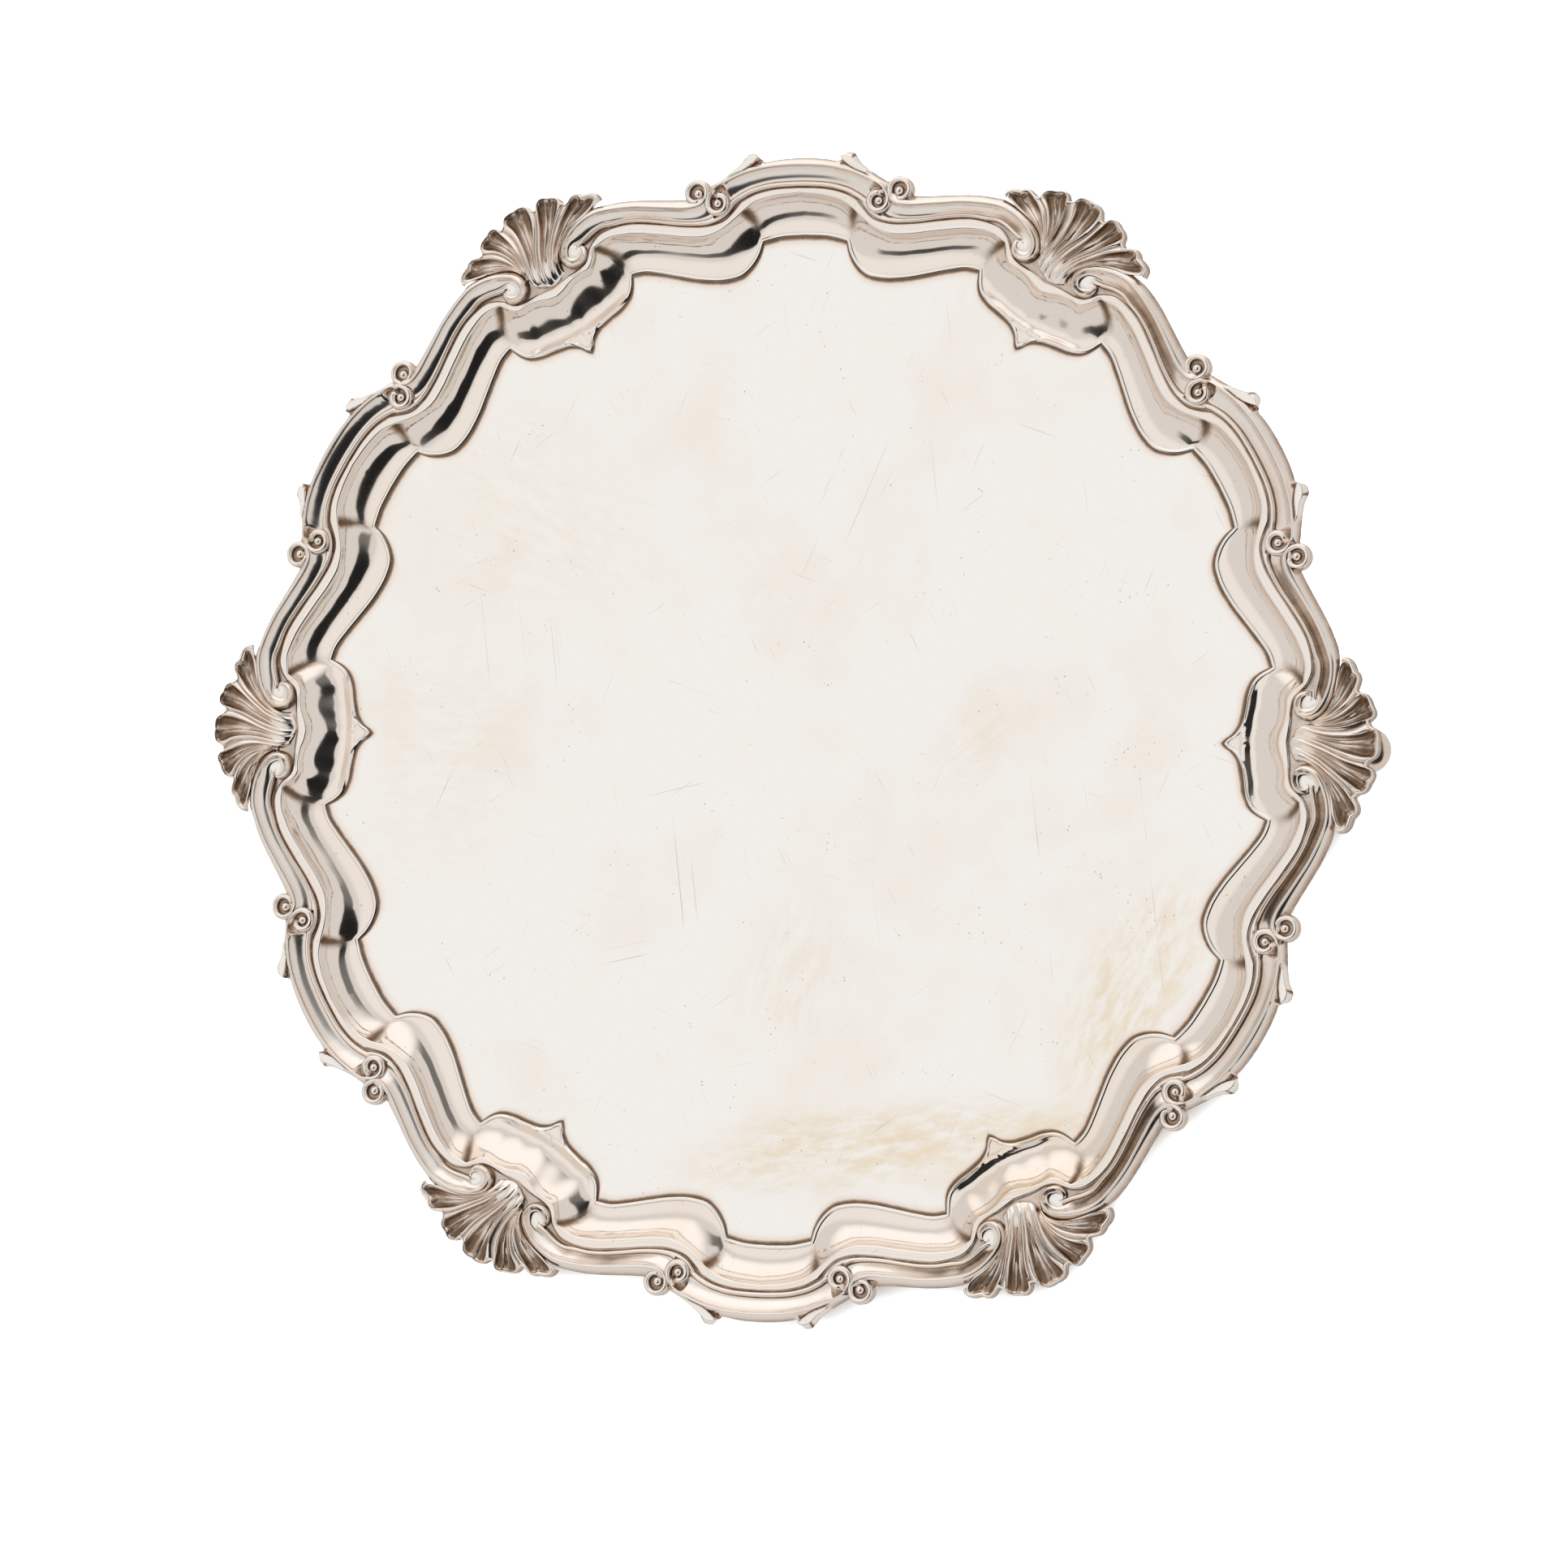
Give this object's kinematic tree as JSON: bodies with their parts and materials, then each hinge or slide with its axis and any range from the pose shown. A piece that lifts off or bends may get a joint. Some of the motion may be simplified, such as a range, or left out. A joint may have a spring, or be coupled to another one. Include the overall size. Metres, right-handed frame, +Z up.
{
  "type": "silver salver",
  "caption": "Shaped round silver tray with a flat plate, a deep cove, a cast shell-and-scroll border and cast pad feet.",
  "frame": {"origin": "centre of the salver on the surface that its feet stand on", "axes": "+Z up, out of the plate's upper face; +X from the centre to the tip of a shell that has a foot under it; +Y to the middle of an arch"},
  "size_m": [0.3812, 0.3642, 0.0336],
  "materials": {
    "tray_silver": "hand-polished sterling silver, fine scratches and faint yellow-brown tarnish",
    "border_silver": "cast and polished sterling silver, brown tarnish in the hollows",
    "shell_silver": "cast and chased sterling silver, polished ridges over brown tarnished flutes",
    "foot_silver": "cast sterling silver, polished with tarnish at the joint"
  },
  "bodies": {
    "root": {"tray_body": "tray_silver", "shell_1": "shell_silver", "shell_2": "shell_silver", "shell_3": "shell_silver", "shell_4": "shell_silver", "shell_5": "shell_silver", "shell_6": "shell_silver", "arch_1": "border_silver", "arch_2": "border_silver", "arch_3": "border_silver", "arch_4": "border_silver", "arch_5": "border_silver", "arch_6": "border_silver", "scroll_left_1": "border_silver", "scroll_left_2": "border_silver", "scroll_left_3": "border_silver", "scroll_left_4": "border_silver", "scroll_left_5": "border_silver", "scroll_left_6": "border_silver", "scroll_right_1": "border_silver", "scroll_right_2": "border_silver", "scroll_right_3": "border_silver", "scroll_right_4": "border_silver", "scroll_right_5": "border_silver", "scroll_right_6": "border_silver", "foot_1": "foot_silver", "foot_2": "foot_silver", "foot_3": "foot_silver"}
  },
  "joints": []
}
